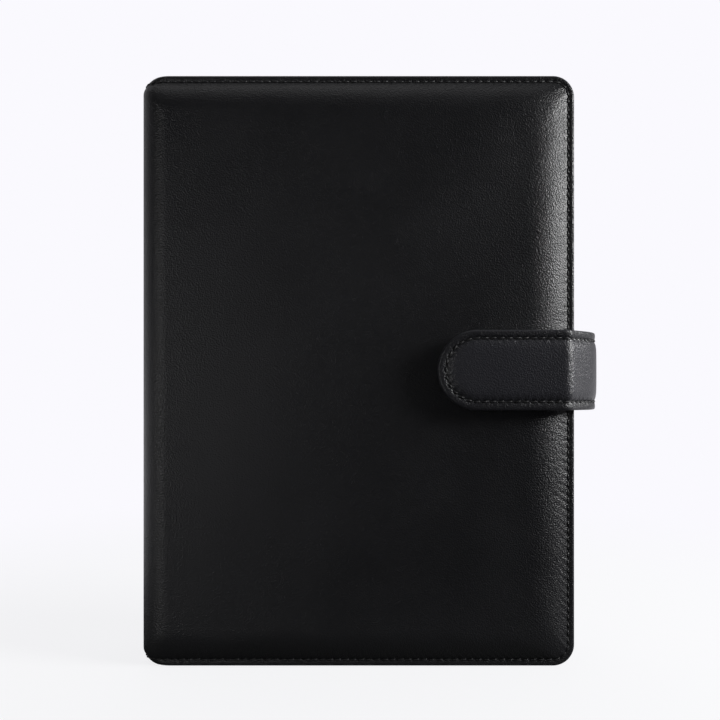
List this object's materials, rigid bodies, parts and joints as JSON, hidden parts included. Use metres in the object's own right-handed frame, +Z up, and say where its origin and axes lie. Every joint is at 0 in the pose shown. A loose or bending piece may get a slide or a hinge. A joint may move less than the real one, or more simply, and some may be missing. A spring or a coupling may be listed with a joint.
{
  "type": "notebook cover",
  "caption": "Padded leather cover for a loose-leaf ring notebook, with a snap strap, inside pockets, a pen loop and an opening ring mechanism.",
  "frame": {"origin": "middle of the footprint, on the bottom edges that the closed cover stands on", "axes": "+X from the spine to the fore edge, -Y out of the front cover, +Z up along the spine"},
  "size_m": [0.1816, 0.0534, 0.234],
  "materials": {
    "outer_leather": "fine-grain black leather, satin",
    "inner_leather": "thin black leather, matt",
    "lining": "black woven lining",
    "thread": "waxed black thread",
    "foam": "open-cell foam",
    "board": "grey-board",
    "ring_steel": "nickel plated",
    "plated_steel": "nickel plated, satin",
    "snap_metal": "gunmetal plated",
    "magnet": "sintered ferrite"
  },
  "bodies": {
    "spine": {"spine_outer_leather": "outer_leather", "spine_foam": "foam", "spine_board": "board", "spine_lining": "lining", "spine_stitching": "thread", "front_hinge_leather": "outer_leather", "front_hinge_foam": "foam", "front_hinge_lining": "lining", "back_hinge_leather": "outer_leather", "back_hinge_foam": "foam", "back_hinge_lining": "lining", "ring_cover_plate": "plated_steel", "ring_rivets": "plated_steel", "rivet_caps": "plated_steel", "lever_pins": "plated_steel"},
    "front_cover": {"front_outer_leather": "outer_leather", "front_foam": "foam", "front_board": "board", "front_lining": "lining", "front_stitching": "thread", "front_slip_pocket": "inner_leather", "card_slot_upper": "inner_leather", "card_slot_middle": "inner_leather", "card_slot_lower": "inner_leather", "snap_socket": "snap_metal", "snap_magnet": "magnet", "socket_backplate": "plated_steel"},
    "back_cover": {"back_outer_leather": "outer_leather", "back_foam": "foam", "back_board": "board", "back_lining": "lining", "back_stitching": "thread", "back_pocket": "inner_leather", "pen_loop": "inner_leather", "strap_root_leather": "outer_leather", "strap_root_stitching": "thread", "strap_back_bend": "outer_leather"},
    "strap_side": {"strap_side_leather": "outer_leather", "strap_side_lining": "lining", "strap_side_core": "board", "strap_front_bend": "outer_leather"},
    "strap_flap": {"strap_flap_leather": "outer_leather", "strap_flap_lining": "lining", "strap_flap_core": "board", "strap_flap_stitching": "thread", "snap_stud": "snap_metal", "stud_backplate": "plated_steel"},
    "ring_front": {"front_blade": "ring_steel", "front_half_rings": "ring_steel"},
    "ring_back": {"back_blade": "ring_steel", "back_half_rings": "ring_steel"},
    "lever_top": {"top_lever": "plated_steel"},
    "lever_bottom": {"bottom_lever": "plated_steel"}
  },
  "joints": [
    {"name": "front_cover_hinge", "type": "hinge", "parent": "spine", "child": "front_cover", "pos_m": [-0.08686, -0.01606, 0.117], "axis": [0, 0, -1], "range_deg": [0, 180], "deforming": ["front_hinge_leather", "front_hinge_foam", "front_hinge_lining"]},
    {"name": "back_cover_hinge", "type": "hinge", "parent": "spine", "child": "back_cover", "pos_m": [-0.08686, 0.01906, 0.117], "axis": [0, 0, 1], "range_deg": [0, 180], "deforming": ["back_hinge_leather", "back_hinge_foam", "back_hinge_lining"]},
    {"name": "strap_swing", "type": "hinge", "parent": "back_cover", "child": "strap_side", "pos_m": [0.0871, 0.0227, 0.117], "axis": [0, 0, 1], "range_deg": [0, 90], "deforming": ["strap_back_bend"]},
    {"name": "strap_peel", "type": "hinge", "parent": "strap_side", "child": "strap_flap", "pos_m": [0.0871, -0.0227, 0.117], "axis": [0, 0, 1], "range_deg": [0, 90], "deforming": ["strap_front_bend"]},
    {"name": "front_rings_open", "type": "hinge", "parent": "spine", "child": "ring_front", "pos_m": [-0.08075, -0.0053, 0.117], "axis": [0, 0, -1], "range_deg": [0, 15]},
    {"name": "back_rings_open", "type": "hinge", "parent": "spine", "child": "ring_back", "pos_m": [-0.08075, 0.0083, 0.117], "axis": [0, 0, 1], "range_deg": [0, 15]},
    {"name": "top_lever_press", "type": "hinge", "parent": "spine", "child": "lever_top", "pos_m": [-0.081, 0.0015, 0.2045], "axis": [0, -1, 0], "range_deg": [0, 22.5]},
    {"name": "bottom_lever_press", "type": "hinge", "parent": "spine", "child": "lever_bottom", "pos_m": [-0.081, 0.0015, 0.0295], "axis": [0, 1, 0], "range_deg": [0, 22.5]}
  ],
  "couplings": [
    {"joint": "strap_peel", "follows": "strap_swing", "ratio": 1},
    {"joint": "back_rings_open", "follows": "front_rings_open", "ratio": 1},
    {"joint": "top_lever_press", "follows": "front_rings_open", "ratio": 1.5},
    {"joint": "bottom_lever_press", "follows": "front_rings_open", "ratio": 1.5}
  ]
}
